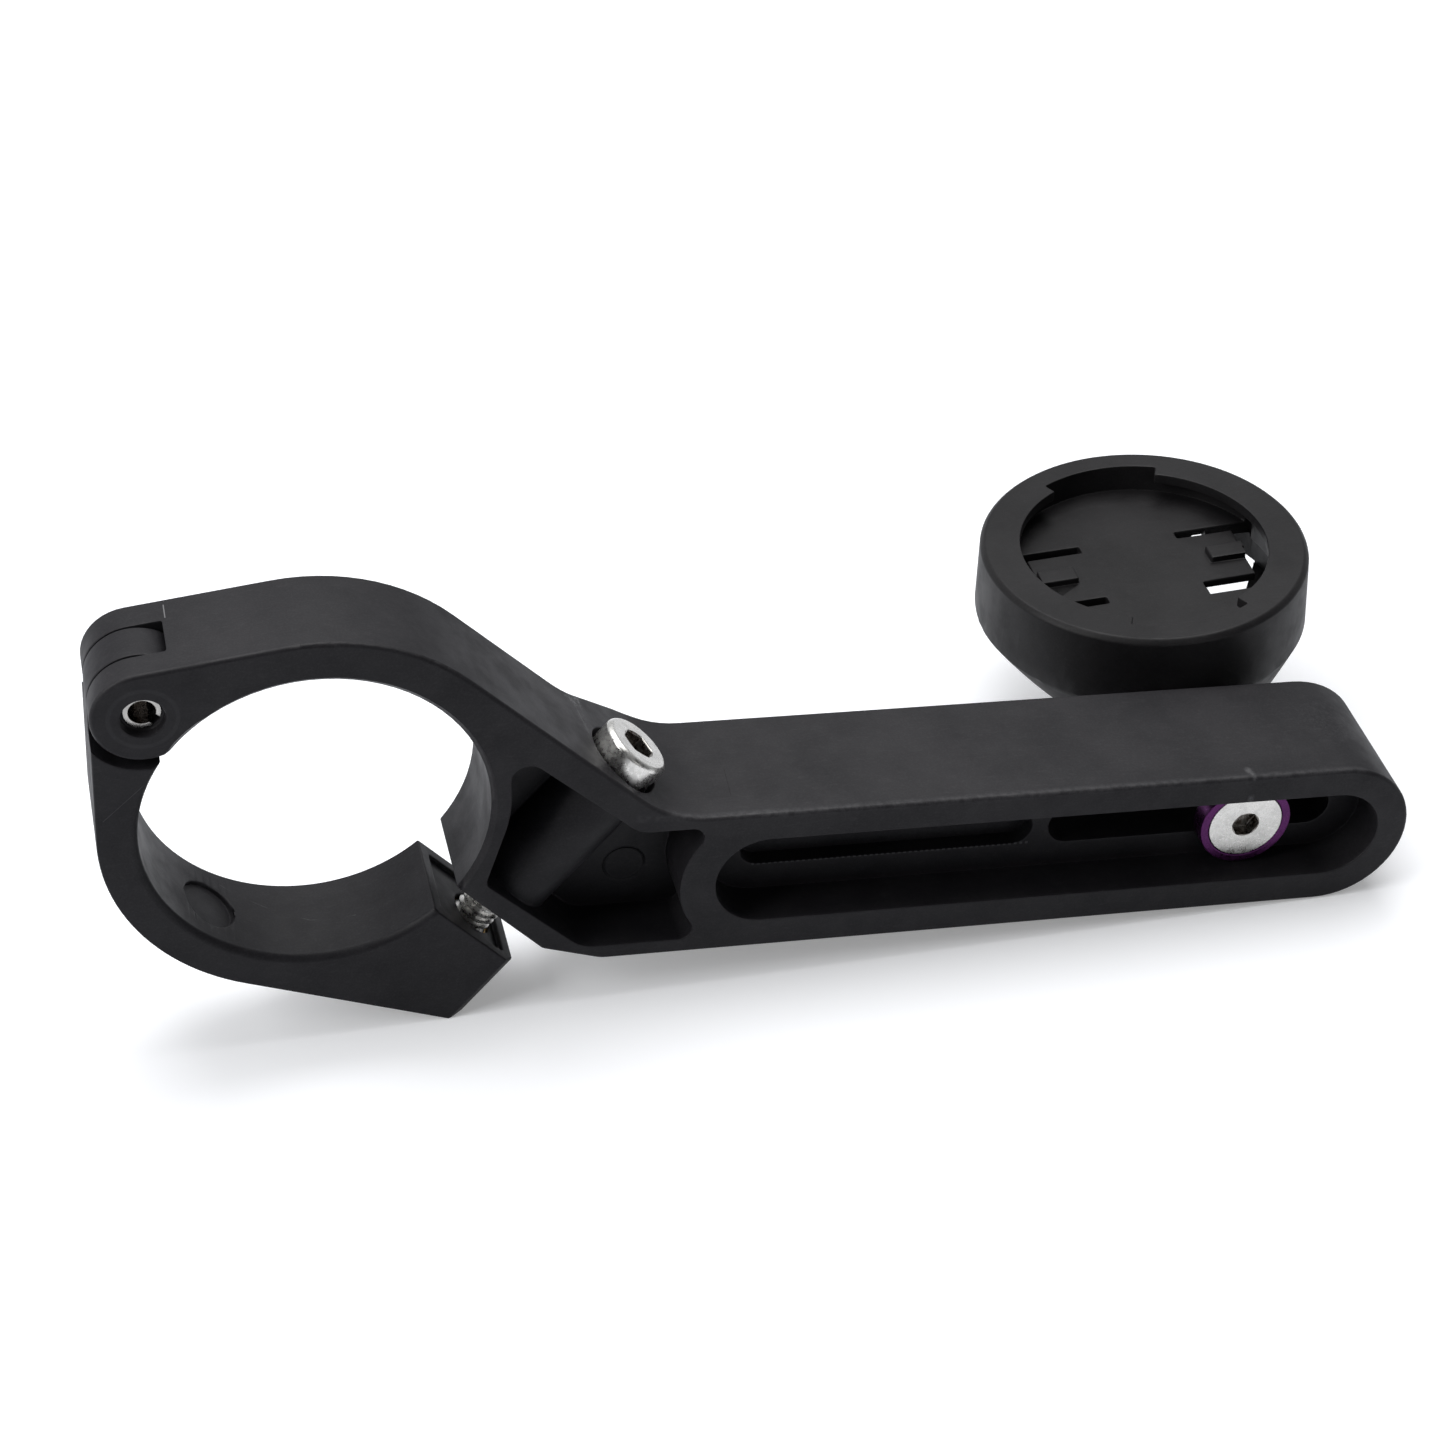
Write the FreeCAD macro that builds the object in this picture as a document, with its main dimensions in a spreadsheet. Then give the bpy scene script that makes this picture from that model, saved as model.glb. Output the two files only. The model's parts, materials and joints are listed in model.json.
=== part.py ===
# Bicycle computer mount: hinged bar clamp, slotted arm and a quarter-turn cradle
# Origin on the bar axis at the middle of the clamp, X along the arm, Y along the bar, Z up
import FreeCAD, Part
import math
import os

Vector = FreeCAD.Vector
FAR = 80.0

# Driving dimensions in millimetres and degrees
SIZES = (
    ("bore_radius", 15.9), ("clamp_radius", 20.0), ("jaw_radius", 19.6), ("clamp_width", 10.5),
    ("overrun", 1.0), ("bore_chamfer", 0.5), ("parting_angle", 44.5), ("arm_parting", 2.77),
    ("jaw_parting", -0.3),
    ("hinge_across", 15.3), ("hinge_up", 13.15), ("ear_radius", 4.6), ("ear_slot", 4.4),
    ("knuckle_clearance", 0.15), ("slot_clearance", 0.9), ("shoulder_clearance", 0.9),
    ("pin_radius", 1.7), ("pin_wall", 0.5), ("pin_slit", 0.9), ("pin_recess", 1.0),
    ("pin_mouth", 0.25), ("pin_running", 0.06), ("pin_slit_angle", -38.0),
    ("arm_width", 14.9), ("arm_drop", 11.0), ("arm_half_height", 8.2), ("arm_end", 109.18),
    ("slope_angle", 41.9), ("bend_radius", 10.0), ("heel_across", 27.4), ("heel_radius", 3.0),
    ("toe_reach", 27.6), ("toe_radius", 1.0), ("flare_start", 24.0), ("flare_end", 31.0),
    ("flare_radius", 5.0), ("run_out", 0.001), ("run_out_length", 4.0), ("edge_round", 0.4),
    ("channel_left", 42.95), ("channel_right", 101.0), ("channel_rise", 0.12),
    ("channel_radius", 4.95), ("channel_depth", 4.7),
    ("blind_left", 41.5), ("blind_right", 71.1), ("blind_half", 1.9), ("blind_depth", 1.8),
    ("travel_left", 72.9), ("travel_right", 102.6), ("travel_half", 2.15),
    ("pocket_depth", 6.0), ("pocket_wall", 1.9), ("pocket_roof", 2.9), ("pocket_floor", 1.7),
    ("pocket_end_wall", 3.55), ("pocket_corner", 1.2), ("pocket_level_roof", 1.2),
    ("pocket_bend", 3.0), ("crown_angle", 17.5), ("crown_out", 0.3), ("crown_up", 1.6),
    ("crown_radius", 1.56), ("heel_shift", 1.0), ("heel_round", 3.5), ("foot_angle", -26.0),
    ("foot_in", 0.2), ("foot_down", 1.0), ("foot_radius", 0.96), ("waist_out", 0.05),
    ("waist_down", 0.6), ("waist_radius", 14.0), ("ejector_radius", 2.0), ("ejector_depth", 0.15),
    ("ejector_across", 3.0), ("ejector_down", 1.6), ("ejector_overlap", 0.2),
    ("screw_angle", 52.5), ("screw_reach", 22.8), ("boss_radius", 4.1), ("boss_foot", 2.0),
    ("thread_radius", 2.0), ("thread_root", 1.62), ("screw_length", 25.0),
    ("screw_head_radius", 3.5), ("screw_head_height", 4.0), ("screw_hex", 3.0),
    ("screw_hex_depth", 2.2), ("screw_seat", 19.35), ("counterbore_radius", 3.9),
    ("counterbore_length", 12.0),
    ("screw_hole_radius", 2.3), ("screw_head_chamfer", 0.35),
    ("insert_radius", 2.8), ("insert_length", 6.0), ("insert_depth", 1.5), ("insert_bore", 2.05),
    ("insert_gap", 0.5), ("thread_clearance", 0.2), ("tip_clearance", 1.18),
    ("tip_slope", 19.2), ("end_face_angle", 53.0), ("end_face_reach", 27.0),
    ("face_recess", 0.5), ("face_rim", 1.3), ("end_chamfer", 1.15), ("disc_radius", 2.8),
    ("disc_depth", 0.4), ("disc_angle", -125.5),
    ("bolt_across", 92.9), ("cup_radius", 4.73), ("cup_height", 2.1), ("cup_bore", 2.15),
    ("seat_gap", 0.05), ("cone_gap", 0.02), ("bolt_head_radius", 3.8), ("bolt_head_rim", 0.35),
    ("bolt_head_cone", 1.9), ("bolt_length", 20.0), ("bolt_hex", 2.5), ("bolt_hex_depth", 1.3),
    ("cradle_across", 90.83), ("cradle_behind", 28.75), ("cradle_up", 1.77),
    ("cradle_tilt", 6.5), ("cradle_radius", 17.1), ("cradle_foot", 17.4), ("rim_chamfer", 0.5),
    ("lip_radius", 12.9), ("lip_thickness", 1.2), ("notch_radius", 14.3),
    ("notch_angle", 52.0), ("gate_angle", 92.0), ("floor_overrun", 0.5), ("detent_root", 0.2),
    ("floor_depth", 3.1), ("floor_thickness", 1.6), ("wall_height", 7.8), ("tongue_tip", 11.4),
    ("tongue_root", 5.3), ("tongue_half", 4.6), ("tongue_slit", 1.1), ("detent_start", 7.3),
    ("detent_length", 4.0), ("detent_width", 2.2), ("detent_height", 0.7),
    ("bowl_wall", 2.4), ("bowl_wall_below", 1.68), ("bowl_wall_aside", 1.92),
    ("bowl_overlap", 0.5), ("bowl_waist", 12.7), ("bowl_waist_depth", 13.6),
    ("bowl_waist_lean", 2.4), ("bowl_waist_shift", 0.9), ("bowl_foot", 7.7),
    ("bowl_foot_depth", 17.8), ("bowl_foot_lean", 5.2), ("bowl_foot_shift", 1.6),
    ("bowl_tip", 3.8), ("bowl_tip_depth", 20.8), ("bowl_tip_lean", 6.4), ("bowl_tip_shift", 2.0),
    ("bowl_back", 4.0), ("boss_outer", 6.0), ("boss_reach", 14.5),
)

doc = FreeCAD.newDocument("computer_mount")
sheet = doc.addObject("Spreadsheet::Sheet", "Sizes")
for row, (alias, value) in enumerate(SIZES, start=1):
    sheet.set("A%d" % row, alias)
    sheet.set("B%d" % row, str(value))
    sheet.setAlias("B%d" % row, alias)
doc.recompute()


def size(alias):
    """Value of a driving dimension."""
    return float(sheet.get(alias))


def bind(item, **formulas):
    """Ties properties of an object to cells of the sheet."""
    for prop, formula in formulas.items():
        item.setExpression(prop, formula)
    return item


def polar(radius, degrees):
    """Point in the side view as (across, up)."""
    angle = math.radians(degrees)
    return (radius * math.cos(angle), radius * math.sin(angle))


def crossing(point, direction, other, other_direction):
    """Where two lines of the side view meet."""
    det = direction[0] * other_direction[1] - direction[1] * other_direction[0]
    gap = (other[0] - point[0], other[1] - point[1])
    along = (gap[0] * other_direction[1] - gap[1] * other_direction[0]) / det
    return (point[0] + along * direction[0], point[1] + along * direction[1])


def front():
    """Front face of clamp and arm."""
    return -size("clamp_width") / 2


def ahead_of_front():
    """Depth where cuts from the front start, clear of the front face."""
    return front() - size("overrun")


def rounded_edges(corners):
    """Lines and arcs round a polygon of (x, y, radius) corners."""
    count = len(corners)
    starts, ends, arcs = [], [], []
    for index, (x, y, radius) in enumerate(corners):
        here = Vector(x, y, 0)
        back = Vector(*corners[index - 1][:2], 0) - here
        ahead = Vector(*corners[(index + 1) % count][:2], 0) - here
        back.normalize()
        ahead.normalize()
        if radius == 0:
            starts.append(here)
            ends.append(here)
            arcs.append(None)
            continue
        half = back.getAngle(ahead) / 2
        reach = radius / math.tan(half)
        middle = here + (back + ahead).normalize() * (radius / math.sin(half) - radius)
        starts.append(here + back * reach)
        ends.append(here + ahead * reach)
        arcs.append(Part.Arc(starts[-1], middle, ends[-1]))
    edges = []
    for index in range(count):
        if arcs[index] is not None:
            edges.append(arcs[index])
        following = (index + 1) % count
        if (starts[following] - ends[index]).Length > 1e-6:
            edges.append(Part.LineSegment(ends[index], starts[following]))
    return edges


def sketch(name, corners, placement):
    """Sketch of a rounded polygon."""
    item = doc.addObject("Sketcher::SketchObject", name)
    item.Placement = placement
    item.addGeometry(rounded_edges(corners), False)
    return item


def side_plane(depth):
    """Placement whose sketch axes are X and Z, at a depth along Y."""
    return FreeCAD.Placement(Vector(0, depth, 0), FreeCAD.Rotation(Vector(1, 0, 0), 90))


def prism(name, corners, depth, formula):
    """Side-view polygon given length along +Y from a depth."""
    outline = sketch(name + "_outline", corners, side_plane(depth))
    item = doc.addObject("Part::Extrusion", name)
    item.Base = outline
    item.DirMode = "Custom"
    item.Dir = Vector(0, 1, 0)
    item.Solid = True
    return bind(item, LengthFwd=formula)


def cylinder(name, radius, height, base, axis=Vector(0, 1, 0)):
    """Round bar from a base point along an axis, radius and height as formulas."""
    item = doc.addObject("Part::Cylinder", name)
    item.Placement = FreeCAD.Placement(base, FreeCAD.Rotation(Vector(0, 0, 1), axis))
    return bind(item, Radius=radius, Height=height)


def cone(name, wide, narrow, height, base, axis=Vector(0, 1, 0)):
    """Round taper from a base point along an axis."""
    item = doc.addObject("Part::Cone", name)
    item.Placement = FreeCAD.Placement(base, FreeCAD.Rotation(Vector(0, 0, 1), axis))
    return bind(item, Radius1=wide, Radius2=narrow, Height=height)


def hexagon(name, across_flats, height, base, axis=Vector(0, 1, 0)):
    """Hexagon bar from a base point along an axis."""
    item = doc.addObject("Part::Prism", name)
    item.Polygon = 6
    item.Placement = FreeCAD.Placement(base, FreeCAD.Rotation(Vector(0, 0, 1), axis))
    return bind(item, Circumradius=across_flats + " / cos(30 deg) / 2", Height=height)


def fuse(name, *pieces):
    item = doc.addObject("Part::MultiFuse", name)
    item.Shapes = list(pieces)
    item.Refine = True
    return item


def cut(name, base, *tools):
    """Base less every tool."""
    tool = tools[0] if len(tools) == 1 else fuse(name + "_tools", *tools)
    item = doc.addObject("Part::Cut", name)
    item.Base = base
    item.Tool = tool
    item.Refine = True
    return item


def common(name, base, tool):
    item = doc.addObject("Part::Common", name)
    item.Base = base
    item.Tool = tool
    return item


def dressed(name, kind, base, radius, chosen):
    """Fillet or chamfer on the edges that a test picks."""
    doc.recompute()
    picked = [number for number, edge in enumerate(base.Shape.Edges, start=1) if chosen(edge)]
    item = doc.addObject("Part::" + kind, name)
    item.Base = base
    item.Edges = [(number, radius, radius) for number in picked]
    return item


# Directions and points that both clamp halves share
HINGE = (-size("hinge_across"), size("hinge_up"))
PARTING = polar(1.0, -size("parting_angle"))
PARTING_NORMAL = polar(1.0, 90 - size("parting_angle"))
SCREW_LINE = polar(1.0, size("screw_angle"))
SCREW_AXIS = Vector(SCREW_LINE[0], 0, SCREW_LINE[1])
BEYOND_HINGE = (HINGE[0] * 3, HINGE[1] * 3)


def parting_point(offset):
    """Point of a mating face's line nearest the bore axis."""
    return (PARTING_NORMAL[0] * offset, PARTING_NORMAL[1] * offset)


def tangent_angle(radius, turn):
    """Direction of the outer tangent's normal between hinge ear and ring."""
    distance = math.hypot(*HINGE)
    toward = math.degrees(math.atan2(HINGE[1], HINGE[0]))
    return toward + turn * math.degrees(math.acos((radius - size("ear_radius")) / distance))


def along_parting(start, reach):
    """Point of a mating face's line at a reach out from its point nearest the bore axis."""
    return (start[0] + reach * PARTING[0], start[1] + reach * PARTING[1])


def screw_point(along):
    """Point on the pinch screw's axis, measured up from the clamp's middle plane."""
    start = polar(size("screw_reach"), -size("parting_angle"))
    return Vector(start[0] + along * SCREW_LINE[0], 0, start[1] + along * SCREW_LINE[1])


def bore_tools(name):
    """Bar bore with a chamfer at its front mouth."""
    bar = cylinder(name + "_bar", "Sizes.bore_radius", "Sizes.arm_width + 2 * Sizes.overrun",
                   Vector(0, ahead_of_front(), 0))
    mouth = cone(name + "_mouth", "Sizes.bore_radius + 2 * Sizes.bore_chamfer", "Sizes.bore_radius",
                 "2 * Sizes.bore_chamfer", Vector(0, front() - size("bore_chamfer"), 0))
    return [bar, mouth]


def arm_outline():
    """Side view of the arm from the clamp to its round end."""
    slope_start = polar(size("clamp_radius"), 90 - size("slope_angle"))
    slope = polar(1.0, -size("slope_angle"))
    top = -size("arm_drop") + size("arm_half_height")
    bottom = -size("arm_drop") - size("arm_half_height")
    bend = crossing(slope_start, slope, (0, top), (1, 0))
    near = parting_point(size("arm_parting"))
    toe = along_parting(near, size("toe_reach"))
    end_radius = size("arm_half_height")
    return [
        (near[0], near[1], 0), (slope_start[0], slope_start[1], 0),
        (bend[0], bend[1], size("bend_radius")), (size("arm_end"), top, end_radius),
        (size("arm_end"), bottom, end_radius), (size("heel_across"), bottom, size("heel_radius")),
        (toe[0], toe[1], size("toe_radius")),
    ]


def stadium(name, left, right, half, middle, depth, formula):
    """Slot with full round ends, from a depth along +Y."""
    corners = [(left, middle + half, half), (right, middle + half, half),
               (right, middle - half, half), (left, middle - half, half)]
    return prism(name, corners, depth, formula)


def pocket_outline():
    """Cored pocket between clamp and arm, open to the front."""
    wall = size("bore_radius") + size("pocket_wall")
    roof_line = polar(size("clamp_radius") - size("pocket_roof"), 90 - size("slope_angle"))
    slope = polar(1.0, -size("slope_angle"))
    top = -size("arm_drop") + size("arm_half_height") - size("pocket_level_roof")
    bottom = -size("arm_drop") - size("arm_half_height") + size("pocket_floor")
    bend = crossing(roof_line, slope, (0, top), (1, 0))
    toe_wall = parting_point(size("arm_parting") + size("pocket_wall"))
    heel = crossing(toe_wall, PARTING, (0, bottom), (1, 0))
    right = size("channel_left") - size("channel_radius")
    crown = polar(wall, size("crown_angle"))
    foot = polar(wall, size("foot_angle"))
    return [
        (crown[0] + size("crown_out"), crown[1] + size("crown_up"), size("crown_radius")),
        (bend[0], bend[1], size("pocket_bend")), (right, top, 0), (right, bottom, 0),
        (heel[0] + size("heel_shift"), bottom, size("heel_round")),
        (foot[0] - size("foot_in"), foot[1] - size("foot_down"), size("foot_radius")),
        (wall + size("waist_out"), -size("waist_down"), size("waist_radius")),
    ]


def screw_boss():
    """Round boss for the pinch screw, kept inside the arm."""
    boss = cylinder("boss_bar", "Sizes.boss_radius", "Sizes.screw_seat + Sizes.boss_foot",
                    screw_point(-size("boss_foot")), SCREW_AXIS)
    return common("screw_boss", boss, prism("boss_limit", arm_outline(), front(), "Sizes.clamp_width"))


def on_outline(edge):
    """True for edges of the arm's front face, apart from the bore and the upright ones."""
    share = (edge.LastParameter - edge.FirstParameter) / 2
    points = [edge.valueAt(edge.FirstParameter + step * share) for step in (0, 1, 2)]
    level = all(abs(point.y - front()) < 0.001 for point in points)
    outside = math.hypot(points[1].x, points[1].z) > size("bore_radius") + 0.001
    upright = abs(points[0].x - points[2].x) < 0.001 and edge.Length > size("arm_half_height")
    return level and outside and not upright


def on_end_wall(edge, middle):
    """True for the two straight edges where the pocket's round end wall meets roof and floor."""
    first = edge.Vertexes[0].Point
    last = edge.Vertexes[-1].Point
    reach = size("channel_radius") + size("pocket_end_wall")
    off_wall = abs(math.hypot(first.x - size("channel_left"), first.z - middle) - reach)
    return abs(first.x - last.x) + abs(first.z - last.z) < 0.001 and off_wall < 0.001


def arm_body():
    """Clamp's upper half, hinge ears and arm as one moulding."""
    middle = -size("arm_drop") + size("channel_rise")
    web = front() + size("channel_depth")
    ring = cylinder("upper_ring", "Sizes.clamp_radius", "Sizes.clamp_width", Vector(0, front(), 0))
    near = parting_point(size("arm_parting"))
    lower = prism("lower_half", [
        (HINGE[0], HINGE[1], 0), (near[0], near[1], 0),
        (*along_parting(near, FAR), 0), (0, -FAR, 0), (-FAR, -FAR, 0), (*BEYOND_HINGE, 0)],
        ahead_of_front(), "Sizes.clamp_width + 2 * Sizes.overrun")
    ear = cylinder("ears", "Sizes.ear_radius", "Sizes.clamp_width",
                   Vector(HINGE[0], front(), HINGE[1]))
    normal = tangent_angle(size("clamp_radius"), -1)
    ear_touch = polar(size("ear_radius"), normal)
    ring_touch = polar(size("clamp_radius"), normal)
    shoulder = prism("upper_shoulder", [
        (0, 0, 0), (HINGE[0], HINGE[1], 0), (HINGE[0] + ear_touch[0], HINGE[1] + ear_touch[1], 0),
        (ring_touch[0], ring_touch[1], 0)], front(), "Sizes.clamp_width")
    arm = prism("arm_bar", arm_outline(), front(), "Sizes.arm_width")
    solid = fuse("arm_solid", cut("upper_half", ring, lower), ear, shoulder, arm)
    back = front() + size("arm_width")
    flare_far = size("flare_end") + size("run_out_length")
    flare = sketch("flare_outline", [
        (-FAR, size("clamp_width") / 2, 0),
        (size("flare_start"), size("clamp_width") / 2, size("flare_radius")),
        (size("flare_end"), back, size("flare_radius")), (flare_far, back + size("run_out"), 0),
        (flare_far, back + size("overrun"), 0), (-FAR, back + size("overrun"), 0)],
        FreeCAD.Placement(Vector(0, 0, -FAR / 2), FreeCAD.Rotation()))
    relief = doc.addObject("Part::Extrusion", "flare_relief")
    relief.Base = flare
    relief.DirMode = "Custom"
    relief.Dir = Vector(0, 0, 1)
    relief.Solid = True
    relief.LengthFwd = FAR
    bore, mouth = bore_tools("arm_bore")
    formed = cut("arm_formed", solid, relief, bore)
    softened = dressed("arm_softened", "Fillet", formed, size("edge_round"), on_outline)
    channel = stadium("channel", size("channel_left") - size("channel_radius"),
                      size("channel_right") + size("channel_radius"), size("channel_radius"),
                      middle, ahead_of_front(), "Sizes.channel_depth + Sizes.overrun")
    blind = stadium("blind_slot", size("blind_left"), size("blind_right"), size("blind_half"),
                    middle, web - size("overrun"), "Sizes.blind_depth + Sizes.overrun")
    travel = stadium("travel_slot", size("travel_left"), size("travel_right"),
                     size("travel_half"), middle, web - size("overrun"), "Sizes.arm_width")
    cored = prism("cored_space", pocket_outline(), ahead_of_front(),
                  "Sizes.pocket_depth + Sizes.overrun")
    end_wall = cylinder("pocket_end", "Sizes.channel_radius + Sizes.pocket_end_wall",
                        "Sizes.pocket_depth + 3 * Sizes.overrun",
                        Vector(size("channel_left"), ahead_of_front() - size("overrun"), middle))
    ended = cut("ended_space", cored, end_wall)
    rounded = dressed("rounded_space", "Fillet", ended, size("pocket_corner"),
                      lambda edge: on_end_wall(edge, middle))
    pocket = cut("cored_pocket", rounded, screw_boss())
    ejector = cylinder("ejector_mark", "Sizes.ejector_radius",
                       "Sizes.ejector_depth + Sizes.ejector_overlap",
                       Vector(size("heel_across") + size("ejector_across"),
                              front() + size("pocket_depth") - size("ejector_overlap"),
                              -size("arm_drop") - size("ejector_down")))
    slot = cylinder("hinge_slot", "Sizes.ear_radius + Sizes.slot_clearance", "Sizes.ear_slot",
                    Vector(HINGE[0], -size("ear_slot") / 2, HINGE[1]))
    hole = cylinder("pin_hole", "Sizes.pin_radius", "Sizes.clamp_width + 2 * Sizes.overrun",
                    Vector(HINGE[0], ahead_of_front(), HINGE[1]))
    mouths = []
    for label, depth in (("front", ahead_of_front()), ("back", -front() - size("pin_recess"))):
        mouths.append(cylinder("pin_mouth_" + label, "Sizes.pin_radius + Sizes.pin_mouth",
                               "Sizes.pin_recess + Sizes.overrun",
                               Vector(HINGE[0], depth, HINGE[1])))
    seat = cylinder("counterbore", "Sizes.counterbore_radius", "Sizes.counterbore_length",
                    screw_point(size("screw_seat")), SCREW_AXIS)
    passage = cylinder("screw_passage", "Sizes.screw_hole_radius",
                       "Sizes.boss_foot + Sizes.screw_seat + 2 * Sizes.overrun",
                       screw_point(-size("boss_foot") - size("overrun")), SCREW_AXIS)
    body = cut("arm_body", softened, channel, blind, travel, pocket, ejector, slot, hole,
               seat, passage, mouth, *mouths)
    return body


def on_end_face(edge, tip, face_end):
    """True for the front and back edges of the jaw's end face."""
    ends = [edge.Vertexes[0].Point, edge.Vertexes[-1].Point]
    corners = [Vector(tip[0], ends[0].y, tip[1]), Vector(face_end[0], ends[0].y, face_end[1])]
    reach = sum(min((end - corner).Length for corner in corners) for end in ends)
    return abs(ends[0].y - ends[1].y) < 0.001 and reach < 0.001


def clamp_jaw():
    """Lower clamp half with hinge knuckle and screw wedge."""
    ring = cylinder("jaw_ring", "Sizes.jaw_radius", "Sizes.clamp_width", Vector(0, front(), 0))
    left = tangent_angle(size("jaw_radius"), 1)
    ear_touch = polar(size("ear_radius"), left)
    ring_touch = polar(size("jaw_radius"), left)
    cheek = prism("jaw_cheek", [
        (0, 0, 0), (HINGE[0], HINGE[1], 0), (HINGE[0] + ear_touch[0], HINGE[1] + ear_touch[1], 0),
        (ring_touch[0], ring_touch[1], 0)], front(), "Sizes.clamp_width")
    near = parting_point(size("jaw_parting"))
    floor_touch = polar(size("jaw_radius"), -90 - size("tip_slope"))
    floor = polar(1.0, -size("tip_slope"))
    face = polar(1.0, size("end_face_angle"))
    face_end = along_parting(near, size("end_face_reach"))
    tip = crossing(floor_touch, floor, face_end, face)
    block = prism("wedge_block", [
        (near[0], near[1], 0), (floor_touch[0], floor_touch[1], 0), (tip[0], tip[1], 0),
        (face_end[0], face_end[1], 0)], front(), "Sizes.clamp_width")
    wedge = dressed("jaw_wedge", "Chamfer", block, size("end_chamfer"),
                    lambda edge: on_end_face(edge, tip, face_end))
    far = along_parting(near, FAR)
    upper = prism("upper_space", [
        (near[0], near[1], 0), (far[0], far[1], 0), (FAR, FAR, 0), (-FAR / 2, FAR, 0),
        (*BEYOND_HINGE, 0)], ahead_of_front(), "Sizes.clamp_width + 2 * Sizes.overrun")
    knuckle = cylinder("knuckle", "Sizes.ear_radius",
                       "Sizes.ear_slot - 2 * Sizes.knuckle_clearance",
                       Vector(HINGE[0], -size("ear_slot") / 2 + size("knuckle_clearance"), HINGE[1]))
    half = cut("jaw_half", fuse("jaw_solid", ring, cheek, wedge), upper)
    clearances = []
    ear_depth = (size("clamp_width") - size("ear_slot")) / 2 + size("knuckle_clearance")
    for label, depth in (("front", ahead_of_front()), ("back", -front() - ear_depth)):
        clearances.append(cylinder("ear_space_" + label,
                                   "Sizes.ear_radius + Sizes.shoulder_clearance",
                                   "(Sizes.clamp_width - Sizes.ear_slot) / 2"
                                   " + Sizes.knuckle_clearance + Sizes.overrun",
                                   Vector(HINGE[0], depth, HINGE[1])))
    pin = cylinder("knuckle_bore", "Sizes.pin_radius + Sizes.pin_running", "Sizes.clamp_width",
                   Vector(HINGE[0], front(), HINGE[1]))
    rim = size("face_rim")
    inner = along_parting(near, size("bore_radius") + rim)
    outer = along_parting(near, size("end_face_reach") - rim)
    step = (PARTING_NORMAL[0] * size("face_recess"), PARTING_NORMAL[1] * size("face_recess"))
    recess = prism("face_recess_space", [
        (inner[0] + step[0], inner[1] + step[1], 0), (outer[0] + step[0], outer[1] + step[1], 0),
        (outer[0] - step[0], outer[1] - step[1], 0), (inner[0] - step[0], inner[1] - step[1], 0)],
        front() + rim, "Sizes.clamp_width - 2 * Sizes.face_rim")
    passage = cylinder("jaw_passage", "Sizes.screw_hole_radius",
                       "Sizes.insert_depth + 3 * Sizes.overrun",
                       screw_point(-size("insert_depth") - size("overrun")), SCREW_AXIS)
    housing = cylinder("insert_housing", "Sizes.insert_radius", "Sizes.screw_length",
                       screw_point(-size("insert_depth")), SCREW_AXIS * -1)
    disc_place = polar(size("bore_radius") - size("overrun"), size("disc_angle"))
    disc_line = polar(1.0, size("disc_angle"))
    disc = cylinder("disc_mark", "Sizes.disc_radius", "Sizes.overrun + Sizes.disc_depth",
                    Vector(disc_place[0], 0, disc_place[1]), Vector(disc_line[0], 0, disc_line[1]))
    return cut("clamp_jaw", fuse("jaw_with_knuckle", cut("jaw_shoulders", half, *clearances), knuckle),
               pin, recess, passage, housing, disc, *bore_tools("jaw_bore"))


def hinge_pin():
    """Rolled spring pin, slit along its length."""
    start = front() + size("pin_recess")
    length = "Sizes.clamp_width - 2 * Sizes.pin_recess"
    outside = cylinder("pin_outside", "Sizes.pin_radius", length, Vector(HINGE[0], start, HINGE[1]))
    inside = cylinder("pin_inside", "Sizes.pin_radius - Sizes.pin_wall", "Sizes.clamp_width",
                      Vector(HINGE[0], front(), HINGE[1]))
    slit = doc.addObject("Part::Box", "pin_slit")
    turn = FreeCAD.Rotation(Vector(0, 1, 0), -size("pin_slit_angle"))
    corner = turn.multVec(Vector(0, 0, -size("pin_slit") / 2))
    slit.Placement = FreeCAD.Placement(Vector(HINGE[0], front(), HINGE[1]) + corner, turn)
    bind(slit, Length="Sizes.pin_radius + Sizes.overrun", Width="Sizes.clamp_width",
         Height="Sizes.pin_slit")
    return cut("hinge_pin", outside, inside, slit)


def pinch_screw():
    """Socket head cap screw that closes the clamp."""
    seat = screw_point(size("screw_seat") + size("seat_gap"))
    top = screw_point(size("screw_seat") + size("seat_gap") + size("screw_head_height"))
    shank = cylinder("pinch_shank", "Sizes.thread_root", "Sizes.screw_length", seat, SCREW_AXIS * -1)
    head = cylinder("pinch_head", "Sizes.screw_head_radius",
                    "Sizes.screw_head_height - Sizes.screw_head_chamfer", seat, SCREW_AXIS)
    crown = cone("pinch_crown", "Sizes.screw_head_radius - Sizes.screw_head_chamfer",
                 "Sizes.screw_head_radius", "Sizes.screw_head_chamfer", top, SCREW_AXIS * -1)
    socket = hexagon("pinch_socket", "Sizes.screw_hex", "Sizes.screw_hex_depth + Sizes.overrun",
                     top + SCREW_AXIS * size("overrun"), SCREW_AXIS * -1)
    return cut("pinch_screw", fuse("pinch_solid", shank, head, crown), socket)


def threaded_insert(name, start, axis):
    """Brass insert with a through thread."""
    outside = cylinder(name + "_outside", "Sizes.insert_radius", "Sizes.insert_length", start, axis)
    thread = cylinder(name + "_thread", "Sizes.insert_bore",
                      "Sizes.insert_length + 2 * Sizes.overrun",
                      start - axis * size("overrun"), axis)
    return cut(name, outside, thread)


def bolt_point(depth):
    """Point on the cradle bolt's axis at a depth behind the front face."""
    return Vector(size("bolt_across"), front() + depth, -size("arm_drop") + size("channel_rise"))


def cup_start():
    """Depth of the cup washer's outer face behind the front face."""
    return size("channel_depth") - size("seat_gap") - size("cup_height")


def bolt_start():
    """Depth of the cradle bolt's outer face behind the front face."""
    return cup_start() + size("cone_gap")


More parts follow.
